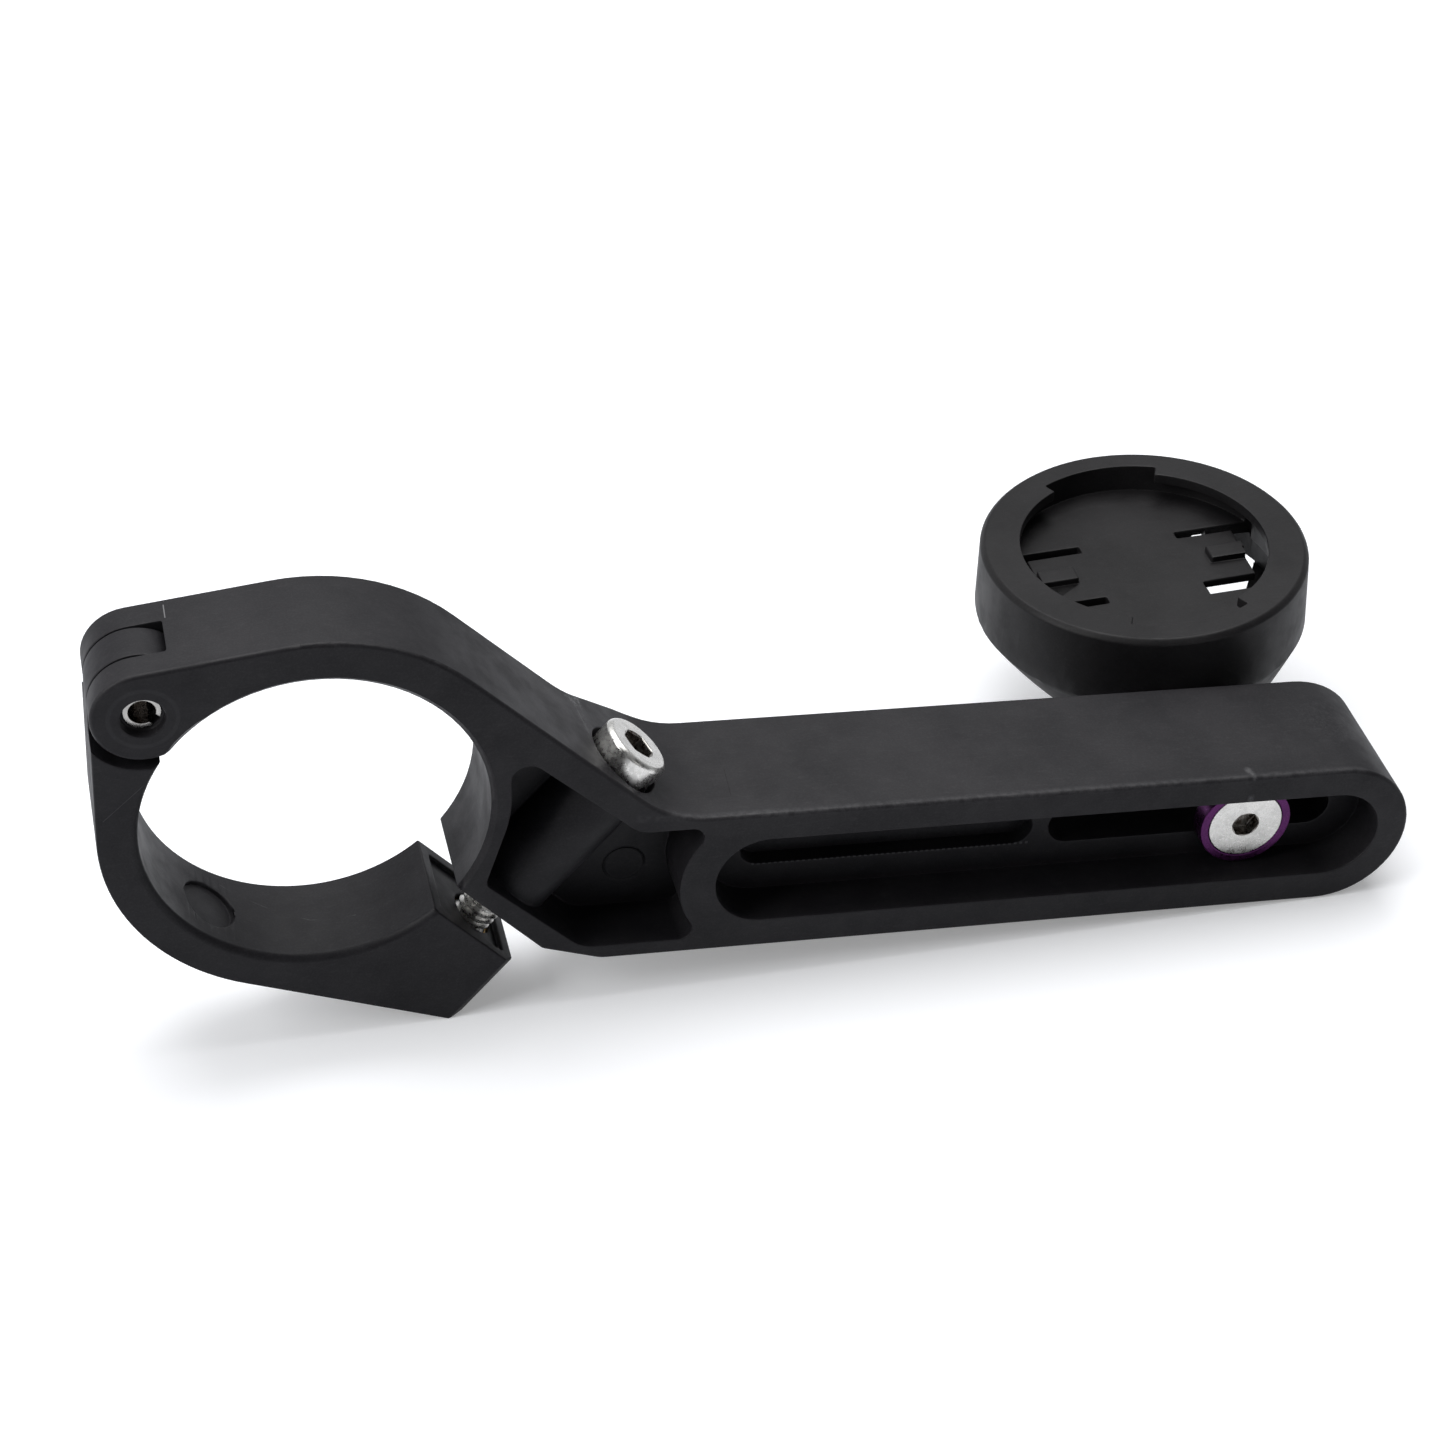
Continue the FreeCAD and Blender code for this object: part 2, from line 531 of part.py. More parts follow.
def cup_washer():
    """Turned cup that seats the countersunk bolt head in the channel."""
    start = cup_start()
    outside = cylinder("cup_outside", "Sizes.cup_radius", "Sizes.cup_height", bolt_point(start))
    hole = cylinder("cup_hole", "Sizes.cup_bore", "Sizes.cup_height + 2 * Sizes.overrun",
                    bolt_point(start - size("overrun")))
    sink = cone("cup_sink", "Sizes.bolt_head_radius + Sizes.seat_gap", "Sizes.cup_bore",
                "Sizes.bolt_head_radius - Sizes.cup_bore + Sizes.seat_gap",
                bolt_point(start + size("bolt_head_rim")))
    mouth = cylinder("cup_mouth", "Sizes.bolt_head_radius + Sizes.seat_gap",
                     "Sizes.bolt_head_rim + Sizes.overrun", bolt_point(start - size("overrun")))
    return cut("cup_washer", outside, hole, sink, mouth)


def cradle_bolt():
    """Countersunk bolt through cup, slot and cradle boss."""
    start = bolt_start()
    rim = cylinder("bolt_rim", "Sizes.bolt_head_radius", "Sizes.bolt_head_rim", bolt_point(start))
    taper = cone("bolt_taper", "Sizes.bolt_head_radius", "Sizes.bolt_head_radius - Sizes.bolt_head_cone",
                 "Sizes.bolt_head_cone", bolt_point(start + size("bolt_head_rim")))
    shank = cylinder("bolt_shank", "Sizes.thread_root", "Sizes.bolt_length", bolt_point(start))
    socket = hexagon("bolt_socket", "Sizes.bolt_hex", "Sizes.bolt_hex_depth + Sizes.overrun",
                     bolt_point(start - size("overrun")))
    return cut("cradle_bolt", fuse("bolt_solid", rim, taper, shank), socket)


def cradle_place():
    """Placement of the cradle's own frame, rim plane at its zero height."""
    return FreeCAD.Placement(
        Vector(size("cradle_across"), size("cradle_behind"), size("cradle_up")),
        FreeCAD.Rotation(Vector(0, 1, 0), -size("cradle_tilt")))


def level_circle(name, radius, depth, lean=0.0, shift=0.0):
    """Level circle below the cradle's rim, moved towards the arm and along it."""
    item = doc.addObject("Part::Circle", name)
    item.Radius = radius
    item.Placement = FreeCAD.Placement(Vector(shift, -lean, -depth), FreeCAD.Rotation())
    return item


def bowl(name, mouth=0.0, below=0.0, aside=0.0, overlap=0.0):
    """Bowl under the cradle that leans to its boss, less a wall at mouth, bottom and sides."""
    sections = [level_circle(name + "_mouth", size("cradle_foot") - mouth,
                             size("wall_height") - overlap)]
    for part in ("bowl_waist", "bowl_foot", "bowl_tip"):
        sections.append(level_circle(name + part[4:], size(part) - aside,
                                     size(part + "_depth") - below,
                                     size(part + "_lean"), size(part + "_shift")))
    item = doc.addObject("Part::Loft", name)
    item.Sections = sections
    item.Solid = True
    return item


def turned(name, corners):
    """Solid of revolution from a half profile of (radius, height) corners."""
    profile = sketch(name + "_profile", [(x, y, 0) for x, y in corners], side_plane(0))
    item = doc.addObject("Part::Revolution", name)
    item.Source = profile
    item.Axis = Vector(0, 0, 1)
    item.Angle = 360
    item.Solid = True
    return item


def level_box(name, corner, turn, **formulas):
    """Box on the cradle's floor, turned half way round for the second side."""
    item = doc.addObject("Part::Box", name)
    rotation = FreeCAD.Rotation(Vector(0, 0, 1), turn)
    item.Placement = FreeCAD.Placement(rotation.multVec(corner), rotation)
    return bind(item, **formulas)


def cradle():
    """Quarter-turn cradle with its half-bowl support and boss."""
    outer = size("cradle_radius")
    foot = size("cradle_foot")
    chamfer = size("rim_chamfer")
    lip = size("lip_radius")
    notch = size("notch_radius")
    half = size("tongue_half")
    slit = size("tongue_slit")
    floor_top = -size("floor_depth")
    floor_bottom = floor_top - size("floor_thickness")
    ring = turned("cradle_ring", [
        (notch, floor_top), (notch, -size("lip_thickness")), (lip, -size("lip_thickness")),
        (lip, 0), (outer - chamfer, 0), (outer, -chamfer), (foot, -size("wall_height")),
        (foot - size("bowl_wall"), -size("wall_height")), (foot - size("bowl_wall"), floor_bottom),
        (0, floor_bottom), (0, floor_top)])
    behind = doc.addObject("Part::Box", "behind_bowl")
    behind.Placement = FreeCAD.Placement(Vector(-FAR / 2, size("bowl_back"), -FAR / 2),
                                         FreeCAD.Rotation())
    bind(behind, Length=str(FAR), Width=str(FAR), Height=str(FAR))
    hollow = bowl("bowl_inside", size("bowl_wall"), size("bowl_wall_below"),
                  size("bowl_wall_aside"), size("bowl_overlap"))
    half_bowl = cut("half_bowl", bowl("bowl_outside"), hollow, behind)
    gates, detents = [], []
    below = Vector(0, 0, floor_bottom - size("floor_overrun"))
    floor_cut = "Sizes.floor_thickness + 2 * Sizes.floor_overrun"
    for label, turn in (("right", 0), ("left", 180)):
        gate = cylinder("gate_" + label, "Sizes.notch_radius",
                        "Sizes.lip_thickness + Sizes.overrun",
                        Vector(0, 0, -size("lip_thickness")), Vector(0, 0, 1))
        gate.Placement = FreeCAD.Placement(
            gate.Placement.Base,
            FreeCAD.Rotation(Vector(0, 0, 1), turn + size("gate_angle") - size("notch_angle") / 2))
        gates.append(bind(gate, Angle="Sizes.notch_angle"))
        for side, edge in (("near", -half), ("far", half)):
            gates.append(level_box("slit_%s_%s" % (side, label),
                                   below + Vector(size("tongue_root"), edge - slit / 2, 0), turn,
                                   Length="Sizes.notch_radius - Sizes.tongue_root",
                                   Width="Sizes.tongue_slit", Height=floor_cut))
        space = level_box("tongue_space_" + label, below + Vector(size("tongue_tip"), -half, 0), turn,
                          Length="Sizes.notch_radius - Sizes.tongue_tip",
                          Width="2 * Sizes.tongue_half", Height=floor_cut)
        disc = cylinder("tongue_reach_" + label, "Sizes.notch_radius", floor_cut, below,
                        Vector(0, 0, 1))
        gates.append(common("tongue_gap_" + label, space, disc))
        detents.append(level_box("detent_" + label,
                                 Vector(size("detent_start"), -size("detent_width") / 2,
                                        floor_top - size("detent_root")), turn,
                                 Length="Sizes.detent_length", Width="Sizes.detent_width",
                                 Height="Sizes.detent_height + Sizes.detent_root"))
    cup = fuse("cradle_cup", cut("cradle_top", fuse("cradle_form", ring, half_bowl), *gates), *detents)
    cup.Placement = cradle_place()
    face = bolt_point(size("arm_width") + size("seat_gap"))
    boss = cylinder("cradle_boss", "Sizes.boss_outer", "Sizes.boss_reach", face)
    hole = cylinder("boss_hole", "Sizes.thread_radius + Sizes.thread_clearance",
                    "%.6f + Sizes.bolt_length + Sizes.tip_clearance"
                    " - Sizes.arm_width - Sizes.seat_gap" % bolt_start(), face)
    housing = cylinder("boss_housing", "Sizes.insert_radius",
                       "Sizes.insert_length + 2 * Sizes.insert_gap", face)
    return cut("cradle", fuse("cradle_solid", cup, boss), hole, housing)


nodes = {
    "arm_body": arm_body(),
    "clamp_jaw": clamp_jaw(),
    "hinge_pin": hinge_pin(),
    "pinch_screw": pinch_screw(),
    "jaw_insert": threaded_insert("jaw_insert", screw_point(-size("insert_depth")), SCREW_AXIS * -1),
    "cup_washer": cup_washer(),
    "cradle_bolt": cradle_bolt(),
    "cradle": cradle(),
    "cradle_insert": threaded_insert(
        "cradle_insert",
        bolt_point(size("arm_width") + size("seat_gap") + size("insert_gap")), Vector(0, 1, 0)),
}
doc.recompute()

for item in doc.Objects:
    if "Invalid" in item.State or "Error" in item.State:
        raise RuntimeError("%s did not build: %s" % (item.Name, item.State))
os.makedirs("parts", exist_ok=True)
for name, item in nodes.items():
    item.Label = name
    shape = item.Shape
    if shape.isNull() or not shape.isValid():
        raise RuntimeError("%s has no valid shape" % name)
    print(name, "solids", len(shape.Solids), "volume %.1f" % shape.Volume)
for name, item in nodes.items():
    item.Shape.exportStep("parts/%s.step" % name)
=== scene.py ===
import json
import math

import bpy
from mathutils import Matrix, Vector

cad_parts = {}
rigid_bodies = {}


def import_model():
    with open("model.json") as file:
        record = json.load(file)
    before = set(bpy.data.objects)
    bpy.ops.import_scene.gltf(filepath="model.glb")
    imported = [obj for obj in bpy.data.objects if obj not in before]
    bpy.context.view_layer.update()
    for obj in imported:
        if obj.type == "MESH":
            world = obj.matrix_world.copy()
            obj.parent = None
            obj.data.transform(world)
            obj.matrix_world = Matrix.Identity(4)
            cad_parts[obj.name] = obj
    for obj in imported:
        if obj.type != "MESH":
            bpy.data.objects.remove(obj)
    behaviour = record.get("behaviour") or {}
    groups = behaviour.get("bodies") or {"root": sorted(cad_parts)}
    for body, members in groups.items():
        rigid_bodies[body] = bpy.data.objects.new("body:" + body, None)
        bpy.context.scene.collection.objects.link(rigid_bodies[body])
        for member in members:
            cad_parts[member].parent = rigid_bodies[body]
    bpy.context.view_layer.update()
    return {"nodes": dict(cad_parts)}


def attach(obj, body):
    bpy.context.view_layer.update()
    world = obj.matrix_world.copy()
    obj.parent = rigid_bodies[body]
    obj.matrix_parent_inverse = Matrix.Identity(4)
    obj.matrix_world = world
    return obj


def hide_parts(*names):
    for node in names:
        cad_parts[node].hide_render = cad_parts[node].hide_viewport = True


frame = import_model()

# Lengths are metres, written as millimetres times MM
MM = 0.001
HINGE = Vector((-15.3, 0.0, 13.15)) * MM
JAW_TIP = Vector((12.9, 0.0, -25.15)) * MM
ARM_FOOT = Vector((101.0, 0.0, -19.2)) * MM
SCREW_ANGLE = math.radians(52.5)
PARTING_ANGLE = math.radians(-44.5)
SCREW_REACH = 22.8
SCREW_LINE = Vector((math.cos(SCREW_ANGLE), 0.0, math.sin(SCREW_ANGLE)))
SCREW_START = Vector((SCREW_REACH * math.cos(PARTING_ANGLE), 0.0,
                      SCREW_REACH * math.sin(PARTING_ANGLE))) * MM
SCREW_SEAT = 19.4 * MM
SCREW_LENGTH = 25.0 * MM
BOLT = Vector((92.9, -2.7, -10.88)) * MM
THREAD_RADIUS = 1.98 * MM
THREAD_ROOT = 1.64 * MM
THREAD_PITCH = 0.7 * MM
FLOOR_DROP = 0.05 * MM
CAMERA_PLACE = Vector((-32.237, -225.925, 182.374)) * MM
FOCAL_PIXELS = 3179.8
PHOTO_PIXELS = 1445.0
SENSOR_WIDTH = 36.0
NYLON_SPECULAR = 0.22
# Lighter grey for wear marks and for painted highlights
WORN_AND_LIT_NYLON = (0.34, 0.34, 0.35)
# Near-black painted shade along creases
CREASE_SHADE_BLACK = (0.004, 0.004, 0.004)
# Brownish painted shade inside sockets and the pin's bore
SOCKET_SHADE = (0.065, 0.045, 0.032)


# Small builders for node materials
class Nodes:
    """Adds nodes to a tree and joins them."""

    def __init__(self, tree):
        self.tree = tree

    def add(self, kind, inputs=None, **settings):
        node = self.tree.nodes.new(kind)
        for key, value in settings.items():
            setattr(node, key, value)
        for key, value in (inputs or {}).items():
            if isinstance(value, bpy.types.NodeSocket):
                self.tree.links.new(value, node.inputs[key])
            else:
                node.inputs[key].default_value = value
        return node

    def math(self, operation, first, second=0.0, clamp=False):
        return self.add("ShaderNodeMath", {0: first, 1: second}, operation=operation,
                        use_clamp=clamp).outputs[0]

    def vector(self, operation, first, second=(0.0, 0.0, 0.0)):
        return self.add("ShaderNodeVectorMath", {0: first, 1: second}, operation=operation)

    def place(self):
        return self.add("ShaderNodeTexCoord").outputs["Object"]

    def stretched(self, scale, turn=(0.0, 0.0, 0.0)):
        """Object coordinates turned and scaled, in units of one metre times the scale."""
        return self.add("ShaderNodeMapping", {"Vector": self.place(), "Scale": scale,
                                              "Rotation": turn}).outputs[0]

    def noise(self, scale, detail=3.0, rough=0.55, vector=None, distortion=0.0):
        return self.add("ShaderNodeTexNoise", {
            "Vector": vector or self.place(), "Scale": scale, "Detail": detail, "Roughness": rough,
            "Distortion": distortion}).outputs[0]

    def ramp(self, value, low, high, start=0.0, end=1.0):
        """Value carried smoothly from start at low to end at high."""
        return self.add("ShaderNodeMapRange", {
            "Value": value, "From Min": low, "From Max": high, "To Min": start, "To Max": end},
            interpolation_type="SMOOTHSTEP").outputs[0]

    def mix(self, share, first, second):
        node = self.add("ShaderNodeMix", {"Factor": share}, data_type="RGBA")
        for slot, value in ((6, first), (7, second)):
            if isinstance(value, bpy.types.NodeSocket):
                self.tree.links.new(value, node.inputs[slot])
            else:
                node.inputs[slot].default_value = (*value, 1.0)
        return node.outputs[2]

    def from_line(self, start, end):
        """Distance from the straight line between two places."""
        start = Vector(start)
        run = Vector(end) - start
        away = self.vector("SUBTRACT", self.place(), tuple(start)).outputs[0]
        along = self.vector("DOT_PRODUCT", away, tuple(run)).outputs["Value"]
        share = self.math("DIVIDE", along, run.length_squared, clamp=True)
        on_line = self.add("ShaderNodeVectorMath", {0: tuple(run), "Scale": share},
                           operation="SCALE")
        gap = self.vector("LENGTH", self.vector("SUBTRACT", away, on_line.outputs[0]).outputs[0])
        return gap.outputs["Value"]

    def line(self, start, end, width, softness=0.35):
        """1 on the straight line between two places, fading to 0 at its width."""
        return self.ramp(self.from_line(start, end), width, width * softness)

    def hoop(self, centre, radius, width):
        """1 at a radius round a place, seen along Y, fading to 0 within a width."""
        away = self.vector("SUBTRACT", self.place(), tuple(centre)).outputs[0]
        flat = self.vector("MULTIPLY", away, (1.0, 0.0, 1.0)).outputs[0]
        reach = self.vector("LENGTH", flat).outputs["Value"]
        off = self.math("ABSOLUTE", self.math("SUBTRACT", reach, radius))
        return self.ramp(off, width, width * 0.3)

    def dashes(self, pitch, share):
        """1 on the dashes of a row along X, 0 between them."""
        place = self.add("ShaderNodeSeparateXYZ", {0: self.place()}).outputs["X"]
        beat = self.math("FRACT", self.math("DIVIDE", place, pitch))
        return self.math("LESS_THAN", beat, share)

    def patch(self, centre, radii):
        """1 at a place, fading to 0 at the given radii along X, Y and Z."""
        away = self.vector("SUBTRACT", self.place(), tuple(centre)).outputs[0]
        scaled = self.vector("DIVIDE", away, tuple(radii)).outputs[0]
        return self.ramp(self.vector("LENGTH", scaled).outputs["Value"], 1.0, 0.25)

    def most(self, values):
        result = values[0]
        for value in values[1:]:
            result = self.math("MAXIMUM", result, value)
        return result


def in_mm(place):
    """Place or size given in millimetres."""
    return Vector(place) * MM


def new_material(name):
    material = bpy.data.materials.new(name)
    material.use_nodes = True
    shader = material.node_tree.nodes["Principled BSDF"]
    return material, Nodes(material.node_tree), shader


def moulded_nylon(name, dark, light, roughness, scratches=(), patches=(), rubs=(), dashed=(),
                  hoops=(), crease_shades=(), grain=0.35):
    """Black glass-filled nylon: fine grain, cloudy skin, rubbed edges, light scratches, painted
    highlights and painted shade along creases.
    """
    material, nodes, shader = new_material(name)
    cloud = nodes.noise(90.0, 4.0, 0.6)
    fibre = nodes.noise(1.0, 2.0, 0.6, nodes.stretched((700.0, 2600.0, 2600.0), (0.0, 0.25, 0.4)))
    fine = nodes.noise(5200.0, 2.0, 0.6)
    tone = nodes.math("ADD", nodes.ramp(cloud, 0.35, 0.7, 0.0, 0.45),
                      nodes.ramp(fine, 0.4, 0.75, 0.0, 0.3))
    tone = nodes.math("ADD", tone, nodes.ramp(fibre, 0.55, 0.75, 0.0, 0.25), clamp=True)
    colour = nodes.mix(tone, dark, light)
    marks = []
    break_up = nodes.noise(1500.0, 3.0, 0.7)
    for start, end, width, strength in scratches:
        line = nodes.line(in_mm(start), in_mm(end), width * MM)
        marks.append(nodes.math("MULTIPLY", line, strength))
    haze = nodes.ramp(nodes.noise(3600.0, 4.0, 0.65, distortion=0.6), 0.36, 0.66)
    # Lighter speckled patches: scuffs, and painted highlights where given
    for centre, radii, strength in patches:
        patch = nodes.patch(in_mm(centre), in_mm(radii))
        broken = nodes.math("MULTIPLY", haze, nodes.ramp(break_up, 0.3, 0.6))
        speckle = nodes.math("MULTIPLY", patch, broken)
        marks.append(nodes.math("MULTIPLY", speckle, strength))
    # Rubbed wear, and painted highlights along edges where given
    for start, end, width, strength in rubs:
        rub = nodes.math("MULTIPLY", nodes.line(in_mm(start), in_mm(end), width * MM, 0.1),
                         nodes.ramp(break_up, 0.35, 0.65, 0.25, 1.0))
        marks.append(nodes.math("MULTIPLY", rub, strength))
    # Rows of light dashes: painted highlights
    for start, end, width, strength, pitch in dashed:
        dash = nodes.math("MULTIPLY", nodes.line(in_mm(start), in_mm(end), width * MM, 0.6),
                          nodes.dashes(pitch * MM, 0.5))
        marks.append(nodes.math("MULTIPLY", dash, strength))
    for centre, radius, width, strength in hoops:
        hoop = nodes.hoop(in_mm(centre), radius * MM, width * MM)
        marks.append(nodes.math("MULTIPLY", hoop, strength))
    if marks:
        # Scratches, scuffs and rubs lighten the colour, and so do the painted highlights
        colour = nodes.mix(nodes.most(marks), colour, WORN_AND_LIT_NYLON)
    # Painted shade: near-black lines along creases
    for start, end, width, strength in crease_shades:
        crease_shade = nodes.math("MULTIPLY", nodes.line(in_mm(start), in_mm(end), width * MM),
                            nodes.ramp(break_up, 0.4, 0.6, 0.3, 1.0))
        colour = nodes.mix(nodes.math("MULTIPLY", crease_shade, strength), colour, CREASE_SHADE_BLACK)
    nodes.tree.links.new(colour, shader.inputs["Base Color"])
    polish = nodes.ramp(nodes.noise(260.0, 3.0, 0.6), 0.3, 0.75,
                        roughness - 0.07, roughness + 0.08)
    nodes.tree.links.new(polish, shader.inputs["Roughness"])
    height = nodes.math("ADD", fine, nodes.math("MULTIPLY", nodes.noise(1500.0, 2.0, 0.5), 0.8))
    bump = nodes.add("ShaderNodeBump", {"Strength": grain, "Distance": 0.02 * MM, "Height": height})
    nodes.tree.links.new(bump.outputs[0], shader.inputs["Normal"])
    shader.inputs["Specular IOR Level"].default_value = NYLON_SPECULAR
    return material


def turned_metal(name, colour, roughness, turned_scale=2200.0, metallic=1.0, sockets=()):
    """Bright turned metal with fine tool marks and a few rubs, with painted shade inside its
    sockets.
    """
    material, nodes, shader = new_material(name)
    rubs = nodes.noise(900.0, 4.0, 0.6)
    tint = nodes.mix(nodes.ramp(rubs, 0.4, 0.7), colour, tuple(0.86 * part for part in colour))
    # Painted shade: dark brownish speckle inside sockets and bores
    for start, end, radius in sockets:
        inside = nodes.math("LESS_THAN", nodes.from_line(start, end), radius * MM)
        shade_speckle = nodes.ramp(nodes.noise(1300.0, 4.0, 0.65), 0.35, 0.7, 0.55, 1.0)
        tint = nodes.mix(nodes.math("MULTIPLY", inside, shade_speckle), tint, SOCKET_SHADE)
    nodes.tree.links.new(tint, shader.inputs["Base Color"])
    shader.inputs["Metallic"].default_value = metallic
    rough = nodes.ramp(nodes.noise(turned_scale, 3.0, 0.6), 0.3, 0.7,
                       roughness * 0.8, roughness * 1.3)
    nodes.tree.links.new(rough, shader.inputs["Roughness"])
    bump = nodes.add("ShaderNodeBump", {"Strength": 0.12, "Distance": 0.01 * MM,
                                        "Height": nodes.noise(turned_scale * 2.0, 2.0, 0.5)})
    nodes.tree.links.new(bump.outputs[0], shader.inputs["Normal"])
    return material


# Wear, painted highlights and painted crease shade of the arm in millimetres: start, end, width,
# strength
ARM_SCRATCHES = (
    ((-12.62, 4.4, 18.24), (-12.64, 2.5, 18.24), 0.07, 0.45),
    ((25.3, 3.6, 4.2), (25.8, 0.7, 3.7), 0.14, 0.10),
)
# Painted shade along creases on the arm
ARM_CREASE_SHADES = (
    ((39.66, 1.97, -2.8), (39.37, -2.12, -2.8), 0.07, 0.75),
    ((39.37, -2.12, -2.8), (35.43, -1.97, -2.8), 0.06, 0.7),
    ((24.5, 2.9, 4.9), (24.7, 2.5, 4.7), 0.16, 0.6),
)
ARM_RUBS_AND_HIGHLIGHTS = (
    ((91.0, -3.9, -2.8), (91.3, -5.25, -2.8), 0.55, 0.20),
    ((91.35, -5.25, -5.2), (91.2, -5.25, -7.6), 0.45, 0.30),
    # Painted highlight: the two long lines along the front top edge
    ((30.0, -4.9, -2.2), (44.0, -5.0, -2.8), 0.8, 0.09),
    ((44.0, -5.0, -2.8), (109.0, -5.0, -2.8), 0.7, 0.07),
    # Painted highlight on the rounded left end of the blind slot
    ((42.6, -0.55, -11.6), (42.9, -0.55, -12.6), 0.16, 0.14),
)
ARM_PATCHES = (
    ((25.1, 5.6, 4.4), (2.0, 2.2, 2.0), 0.36),
    ((25.6, 2.2, 3.9), (0.8, 2.4, 1.2), 0.12),
    ((103.0, 3.0, -3.6), (6.0, 6.0, 2.5), 0.05),
)
# Painted highlight: light dashes standing in for lit serration teeth along the blind slot
SERRATION_HIGHLIGHTS = (((42.9, -0.55, -12.78), (71.0, -0.55, -12.78), 0.17, 0.16, 0.57),)
PIN_HOOPS = (((-15.3, 0.0, 13.15), 3.0, 0.3, 0.035),)
JAW_SCRATCHES = (
    ((-18.94, -5.25, 2.08), (-14.79, -5.25, 6.43), 0.05, 0.12),
)
JAW_RUBS = (
    ((-7.76, 3.7, -13.88), (-4.2, 2.07, -15.34), 0.12, 0.10),
    ((-4.2, 2.07, -15.34), (0.25, 0.01, -15.9), 0.12, 0.10),
    ((0.25, 0.01, -15.9), (4.42, -0.51, -15.27), 0.12, 0.08),
    ((17.34, -5.25, -13.55), (18.06, -5.25, -16.37), 0.12, 0.16),
)
# Painted highlight on the top of the cradle's neck, lit from above
CRADLE_PAINTED_HIGHLIGHTS = (
    ((93.2, 15.2, -6.3), (5.5, 3.0, 2.0), 0.8),
    ((97.0, 16.0, -7.6), (4.5, 3.0, 2.6), 0.6),
)
PINCH_TOP = SCREW_START + SCREW_LINE * (SCREW_SEAT + 3.93 * MM)
# Painted shade inside the spring pin's bore and inside the screw sockets
PIN_BORE = ((HINGE - Vector((0.0, 4.2 * MM, 0.0)), HINGE + Vector((0.0, 4.2 * MM, 0.0)), 1.25),)
SOCKETS = ((PINCH_TOP, PINCH_TOP - SCREW_LINE * 2.3 * MM, 1.72),
           (BOLT + Vector((0.0, 0.12 * MM, 0.0)), BOLT + Vector((0.0, 1.4 * MM, 0.0)), 1.43))

nylon = moulded_nylon("black_nylon", (0.0105, 0.0100, 0.0120), (0.0290, 0.0275, 0.0300), 0.5,
                      ARM_SCRATCHES, ARM_PATCHES, ARM_RUBS_AND_HIGHLIGHTS, SERRATION_HIGHLIGHTS, PIN_HOOPS, ARM_CREASE_SHADES)
jaw_nylon = moulded_nylon("black_nylon_jaw", (0.0105, 0.0100, 0.0120),
                          (0.0280, 0.0270, 0.0300), 0.5, JAW_SCRATCHES, rubs=JAW_RUBS)
# Painted shade: darker copy of the black nylon for the cradle, standing in for shade over its floor
# and pockets
shaded_cradle_nylon = moulded_nylon("black_nylon_cradle_shaded", (0.0070, 0.0065, 0.0072),
                             (0.0195, 0.0185, 0.0195), 0.46, (), CRADLE_PAINTED_HIGHLIGHTS, grain=0.2)
polished_steel = turned_metal("polished_stainless", (0.84, 0.83, 0.80), 0.28, sockets=SOCKETS)
spring_steel = turned_metal("rolled_spring_steel", (0.50, 0.49, 0.47), 0.24, sockets=PIN_BORE)
brass = turned_metal("turned_brass", (0.66, 0.46, 0.20), 0.3)
anodised = turned_metal("purple_anodised", (0.105, 0.024, 0.115), 0.3, metallic=0.9)


def activate(piece):
    """Only this object selected and active."""
    if bpy.context.mode != "OBJECT":
        bpy.ops.object.mode_set(mode="OBJECT")
    bpy.ops.object.select_all(action="DESELECT")
    piece.select_set(True)
    bpy.context.view_layer.objects.active = piece


def finish_mesh(piece, material, smooth_angle=32.0):
    """One material, and smooth shading up to an angle."""
    activate(piece)
    piece.data.materials.clear()
    piece.data.materials.append(material)
    bpy.ops.object.shade_smooth_by_angle(angle=math.radians(smooth_angle))


def carve(piece, cutters):
    """Takes closed cutting shapes away from a piece and deletes them."""
    for cutter in cutters:
        activate(piece)
        bpy.ops.object.modifier_add(type="BOOLEAN")
        boolean = piece.modifiers[-1]
        boolean.operation = "DIFFERENCE"
        boolean.solver = "EXACT"
        boolean.object = cutter
        bpy.ops.object.modifier_apply(modifier=boolean.name)
        activate(cutter)
        bpy.ops.object.delete()


def moulded_copy(node, name, body, material, edge, segments=2, corner=40.0, cutters=()):
    """Copy of a CAD solid with its sharp edges rounded, which then stands for it."""
    source = frame["nodes"][node]
    activate(source)
    bpy.ops.object.duplicate()
    piece = bpy.context.view_layer.objects.active
    bpy.ops.object.parent_clear(type="CLEAR_KEEP_TRANSFORM")
    bpy.ops.object.transform_apply(location=True, rotation=True, scale=True)
    piece.name = name
    bpy.ops.object.mode_set(mode="EDIT")
    bpy.ops.mesh.select_all(action="SELECT")
    bpy.ops.mesh.remove_doubles(threshold=0.0005 * MM)
    bpy.ops.mesh.dissolve_limited(angle_limit=math.radians(0.3))
    bpy.ops.object.mode_set(mode="OBJECT")
    bpy.ops.object.modifier_add(type="BEVEL")
    bevel = piece.modifiers[-1]
    bevel.width = edge * MM
    bevel.segments = segments
    bevel.limit_method = "ANGLE"
    bevel.angle_limit = math.radians(corner)
    bevel.use_clamp_overlap = False
    bevel.miter_outer = "MITER_ARC"
    bevel.harden_normals = False
    bpy.ops.object.modifier_apply(modifier=bevel.name)
    carve(piece, cutters)
    finish_mesh(piece, material)
    bpy.ops.object.modifier_add(type="WEIGHTED_NORMAL")
    weighted = piece.modifiers[-1]
    weighted.keep_sharp = True
    weighted.weight = 80
    bpy.ops.object.modifier_apply(modifier=weighted.name)
    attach(piece, body)
    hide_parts(node)
    return piece


